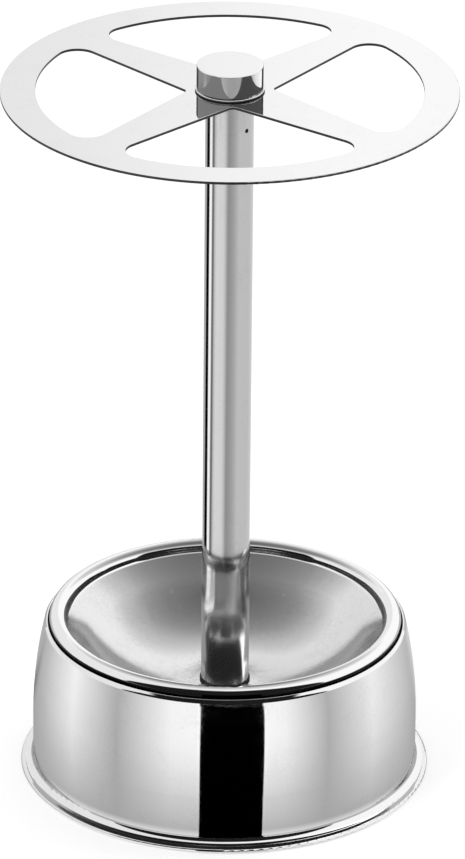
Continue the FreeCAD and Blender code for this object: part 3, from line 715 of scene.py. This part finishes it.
# The canopy, as (share of its radius, brightness)
CANOPY_STOPS = [
    (0.0, 0.10), (0.23, 0.20), (0.40, 0.31), (0.60, 0.58), (0.72, 0.66), (1.0, 1.0),
]

# The room as metal seen in metal shows it, as (0 at the front to 1 at the back, brightness)
INNER_STOPS = [
    (0.38, 0.01), (0.455, 0.02), (0.535, 0.05), (0.60, 0.10), (0.675, 0.14), (0.76, 0.16), (0.90, 0.45),
]


def ramp_of(tree, value, stops):
    """A colour ramp; stops are (position, brightness)."""
    ramp = add_node(tree, "ShaderNodeValToRGB")
    tree.links.new(value, ramp.inputs[0])
    elements = ramp.color_ramp.elements
    while len(elements) > 1:
        elements.remove(elements[-1])
    for index, (position, shade) in enumerate(stops):
        element = elements[0] if index == 0 else elements.new(position)
        element.position = position
        element.color = (shade, shade, shade, 1.0 if shade > 0.0 else 0.0)
    return ramp


def by_direction(tree, value, stops):
    """A ramp over the fan's angle."""
    return ramp_of(tree, value, [
        ((degrees + FAN_HALF_ANGLE) / (2 * FAN_HALF_ANGLE), shade) for degrees, shade in stops])


def soft_window(tree, value, low, high, soft):
    """1 between two limits, falling off softly outside them."""
    rise = remap(tree, value, low - soft, low + soft, smooth=True)
    fall = remap(tree, value, high + soft, high - soft, smooth=True)
    return math_node(tree, "MULTIPLY", rise, fall)


def bare_material(name):
    """A material with an empty node tree."""
    material = bpy.data.materials.new(name)
    material.use_nodes = True
    material.node_tree.nodes.clear()
    return material, material.node_tree


def finish_glow(tree, colour):
    """End a material in a plain glow."""
    glow = add_node(tree, "ShaderNodeEmission", {"Strength": 1.0})
    tree.links.new(colour, glow.inputs["Color"])
    output = add_node(tree, "ShaderNodeOutputMaterial")
    tree.links.new(glow.outputs[0], output.inputs["Surface"])


def fan_material(name):
    """Soft boxes and flags around the stand, set out by direction.

    What the low wall mirrors is close by and what the column mirrors is further off, so the two
    patterns are told apart by how far the mirrored ray has come.
    """
    material, tree = bare_material(name)
    split = add_node(tree, "ShaderNodeSeparateXYZ")
    tree.links.new(add_node(tree, "ShaderNodeUVMap").outputs[0], split.inputs[0])
    wall = by_direction(tree, split.outputs[0], WALL_STOPS)
    pattern = ramp_of(tree, split.outputs[1], PATTERN_SHARE)
    foot = ramp_of(tree, split.outputs[1], FOOT_STOPS)
    beside_stripe = math_node(tree, "GREATER_THAN", wall.outputs["Alpha"], 0.5)
    graded = mix_colour(tree, pattern.outputs[0], foot.outputs[0], wall.outputs[0])
    near = mix_colour(tree, beside_stripe, (0.0, 0.0, 0.0), graded)

    place, radius, _, _ = around_axis(tree)
    facing = add_node(tree, "ShaderNodeSeparateXYZ")
    tree.links.new(place, facing.inputs[0])
    forward = math_node(tree, "MULTIPLY", facing.outputs[1], -1.0)
    azimuth = math_node(tree, "ARCTAN2", facing.outputs[0], forward)
    column_angle = math_node(tree, "MULTIPLY_ADD", azimuth, 0.25 / math.radians(FAN_HALF_ANGLE), 0.5)
    column = by_direction(tree, column_angle, COLUMN_STOPS)
    cap = by_direction(tree, column_angle, CAP_STOPS)

    came = add_node(tree, "ShaderNodeLightPath").outputs["Ray Length"]
    ahead = math_node(tree, "MULTIPLY_ADD", radius, -RAY_PER_RADIUS, came)
    is_column = remap(tree, ahead, *COLUMN_AHEAD, smooth=True)
    is_cap = remap(tree, came, *CAP_CAME, smooth=True)
    far = mix_colour(tree, is_cap, column.outputs[0], cap.outputs[0])
    finish_glow(tree, mix_colour(tree, is_column, near, far))
    return material


def make_fan():
    """A flat fan on the floor: where parallel light leaves the shell's wall."""
    steps = 178
    rows = []
    for reach in (FAN_START, (FAN_START + FAN_REACH) / 2, FAN_REACH):
        row = []
        for step in range(steps + 1):
            facing = math.radians(FAN_HALF_ANGLE * (2 * step / steps - 1))
            x = WALL_RADIUS * math.sin(facing) + reach * math.sin(2 * facing)
            y = -WALL_RADIUS * math.cos(facing) - reach * math.cos(2 * facing)
            row.append((x, y, FLOOR + FAN_LIFT))
        rows.append(row)
    fan = grid_object("studio_fan", rows)
    fan.data.materials.append(fan_material("studio_fan"))
    reflect_only(fan)


def make_disc(name, radius, place):
    """A level disc about its own origin, seen only by metal; gives its material's tree."""
    steps = 48
    middle = 0.1 * MM
    rows = []
    for reach in (middle, radius):
        row = []
        for step in range(steps + 1):
            angle = 2 * math.pi * step / steps
            row.append((reach * math.cos(angle), reach * math.sin(angle), 0.0))
        rows.append(row)
    disc = grid_object(name, rows)
    disc.location = place
    material, tree = bare_material(name)
    disc.data.materials.append(material)
    reflect_only(disc)
    return tree


def glow_below(tree, colour, strength, hidden):
    """A glow that is seen only from below; it is clear where the mask hides it too."""
    glow = add_node(tree, "ShaderNodeEmission")
    for socket, value in (("Color", colour), ("Strength", strength)):
        if isinstance(value, (int, float, tuple)):
            glow.inputs[socket].default_value = value
        else:
            tree.links.new(value, glow.inputs[socket])
    clear = add_node(tree, "ShaderNodeBsdfTransparent")
    sides = add_node(tree, "ShaderNodeMixShader")
    above = add_node(tree, "ShaderNodeNewGeometry").outputs["Backfacing"]
    tree.links.new(math_node(tree, "MAXIMUM", above, hidden), sides.inputs[0])
    tree.links.new(glow.outputs[0], sides.inputs[1])
    tree.links.new(clear.outputs[0], sides.inputs[2])
    output = add_node(tree, "ShaderNodeOutputMaterial")
    tree.links.new(sides.outputs[0], output.inputs["Surface"])


def make_canopy():
    """A graded dark card over the base for the bowl's slopes; metal seen in metal meets only its
    back half, as a plain grey."""
    tree = make_disc("studio_canopy", CANOPY_RADIUS, CANOPY_PLACE)
    place, radius, _, _ = around_axis(tree)
    share = math_node(tree, "DIVIDE", radius, CANOPY_RADIUS)
    split = add_node(tree, "ShaderNodeSeparateXYZ")
    tree.links.new(place, split.inputs[0])
    front = remap(tree, split.outputs[1], 0.02, -0.02, smooth=True)
    shade = ramp_of(tree, share, CANOPY_STOPS)
    twice = mirrored_twice(tree)
    plain_grey = (0.42, 0.42, 0.42)
    seen = mix_colour(tree, twice, shade.outputs[0], plain_grey)
    glow_below(tree, seen, 1.0, math_node(tree, "MULTIPLY", twice, front))


def make_lid():
    """A white card over the ring, so that the plate looks light from every side."""
    tree = make_disc("studio_lid", LID_RADIUS, LID_PLACE)
    split = add_node(tree, "ShaderNodeSeparateXYZ")
    tree.links.new(object_place(tree), split.inputs[0])
    left, right = -0.16, 0.12
    strength = remap(tree, split.outputs[0], left, right, 0.87, 1.04, smooth=True)
    glow_below(tree, (1.0, 1.0, 1.0, 1.0), strength, mirrored_twice(tree))


def make_floor():
    """The pale floor; it keeps the stand's shadow and is light to the eye and to metal."""
    floor = grid_object("studio_floor", [
        [(-FLOOR_HALF, -FLOOR_HALF, FLOOR), (FLOOR_HALF, -FLOOR_HALF, FLOOR)],
        [(-FLOOR_HALF, FLOOR_HALF, FLOOR), (FLOOR_HALF, FLOOR_HALF, FLOOR)],
    ])
    material, tree = bare_material("pale_floor")
    paint = add_node(tree, "ShaderNodeBsdfDiffuse", {"Color": (0.8, 0.8, 0.8, 1.0)})
    glow = add_node(tree, "ShaderNodeEmission", {"Color": (1, 1, 1, 1)})
    path = add_node(tree, "ShaderNodeLightPath")
    seen = math_node(tree, "MAXIMUM", path.outputs["Is Camera Ray"], path.outputs["Is Glossy Ray"])
    tree.links.new(math_node(tree, "MULTIPLY", seen, 0.32), glow.inputs["Strength"])
    both = add_node(tree, "ShaderNodeAddShader")
    tree.links.new(paint.outputs[0], both.inputs[0])
    tree.links.new(glow.outputs[0], both.inputs[1])
    output = add_node(tree, "ShaderNodeOutputMaterial")
    tree.links.new(both.outputs[0], output.inputs["Surface"])
    floor.data.materials.append(material)


def scaled(tree, colour, factor):
    """A colour times a value; the colour is a socket or RGB values."""
    made = add_node(tree, "ShaderNodeVectorMath", operation="SCALE")
    if isinstance(colour, tuple):
        made.inputs[0].default_value = colour
    else:
        tree.links.new(colour, made.inputs[0])
    tree.links.new(factor, made.inputs["Scale"])
    return made.outputs[0]


def room_in_metal(tree, x, y, up):
    """What metal shows of the room when it is itself seen in metal."""
    inner = ramp_of(tree, math_node(tree, "MULTIPLY_ADD", y, 0.5, 0.5), INNER_STOPS)
    bearing = math_node(tree, "ARCTAN2", y, x)
    window = math_node(tree, "MULTIPLY", soft_window(tree, bearing, 0.16, 0.92, 0.06),
                       soft_window(tree, up, 0.50, 0.975, 0.012))
    lit = mix_colour(tree, window, inner.outputs[0], (1.9, 1.9, 1.9))
    flank = math_node(tree, "MULTIPLY", remap(tree, y, 0.28, 0.40, smooth=True),
                      soft_window(tree, up, 0.38, 0.66, 0.05))
    lit = mix_colour(tree, flank, lit, (0.62, 0.62, 0.62))

    # A low band, for the cap's side: lighter to the left, and dark far to the back
    low = soft_window(tree, up, 0.34, 0.43, 0.02)
    left_to_right = remap(tree, x, -0.1, 0.15, 1.0, 0.27, smooth=True)
    band = scaled(tree, (0.26, 0.26, 0.26), left_to_right)
    far_back = remap(tree, y, 0.72, 0.82, smooth=True)
    return mix_colour(tree, low, lit, mix_colour(tree, far_back, band, (0.03, 0.03, 0.03)))


def make_world():
    """White to the eye, even light for matt surfaces, and a white room with a black front for
    polished metal."""
    world = bpy.data.worlds.new("studio")
    scene.world = world
    world.use_nodes = True
    tree = world.node_tree
    tree.nodes.clear()
    split = add_node(tree, "ShaderNodeSeparateXYZ")
    tree.links.new(add_node(tree, "ShaderNodeTexCoord").outputs["Generated"], split.inputs[0])
    x, y, up = split.outputs
    not_front = remap(tree, y, -0.46, -0.40, smooth=True)
    overhead = remap(tree, up, 0.86, 0.90, smooth=True)
    white = math_node(tree, "MAXIMUM", not_front, overhead)
    shade = mix_colour(tree, white, (BLACK, BLACK, BLACK), (1.0, 1.0, 1.0))
    shade = mix_colour(tree, mirrored_twice(tree), shade, room_in_metal(tree, x, y, up))
    shade = scaled(tree, shade, remap(tree, x, -0.03, 0.03, 0.88, 1.05))
    path = add_node(tree, "ShaderNodeLightPath")
    even = mix_colour(tree, path.outputs["Is Diffuse Ray"], (1.0, 1.0, 1.0), (0.80, 0.80, 0.80))
    seen = mix_colour(tree, path.outputs["Is Glossy Ray"], even, shade)
    back = add_node(tree, "ShaderNodeBackground", {"Strength": 1.0})
    tree.links.new(seen, back.inputs["Color"])
    output = add_node(tree, "ShaderNodeOutputWorld")
    tree.links.new(back.outputs[0], output.inputs["Surface"])


def make_softbox(name, place, size, watts):
    """A square area lamp that looks at the middle of the stand; metal doesn't mirror its edge."""
    data = bpy.data.lights.new(name, "AREA")
    data.shape = "SQUARE"
    data.size = size
    data.energy = watts
    lamp = bpy.data.objects.new(name, data)
    scene.collection.objects.link(lamp)
    lamp.location = place
    target = Vector((0, 0, RING_TOP / 2))
    lamp.rotation_euler = (target - Vector(place)).to_track_quat("-Z", "Y").to_euler()
    lamp.visible_glossy = False


LENS = 390.2
CAMERA_PLACE = (0.00368, -5.5811, 2.8711)
CAMERA_DOWN = math.radians(25.19)
CAMERA_ROLL = 0.0091


def make_camera():
    """A long lens from the front, looking down at the stand."""
    data = bpy.data.cameras.new("camera")
    data.lens = LENS
    data.clip_end = 100.0
    camera = bpy.data.objects.new("camera", data)
    scene.collection.objects.link(camera)
    camera.location = CAMERA_PLACE
    camera.rotation_mode = "QUATERNION"
    tilt = Matrix.Rotation(math.pi / 2 - CAMERA_DOWN, 4, "X") @ Matrix.Rotation(CAMERA_ROLL, 4, "Z")
    camera.rotation_quaternion = tilt.to_quaternion()
    scene.camera = camera


finish_nodes()
make_threads()
make_floor()
make_fan()
make_canopy()
make_lid()
make_world()
make_softbox("softbox_left", place=(-1.6, -1.4, 2.2), size=1.2, watts=18)
make_softbox("softbox_right", place=(1.8, 0.6, 2.0), size=1.2, watts=10)
make_camera()
scene.view_settings.view_transform = "Standard"
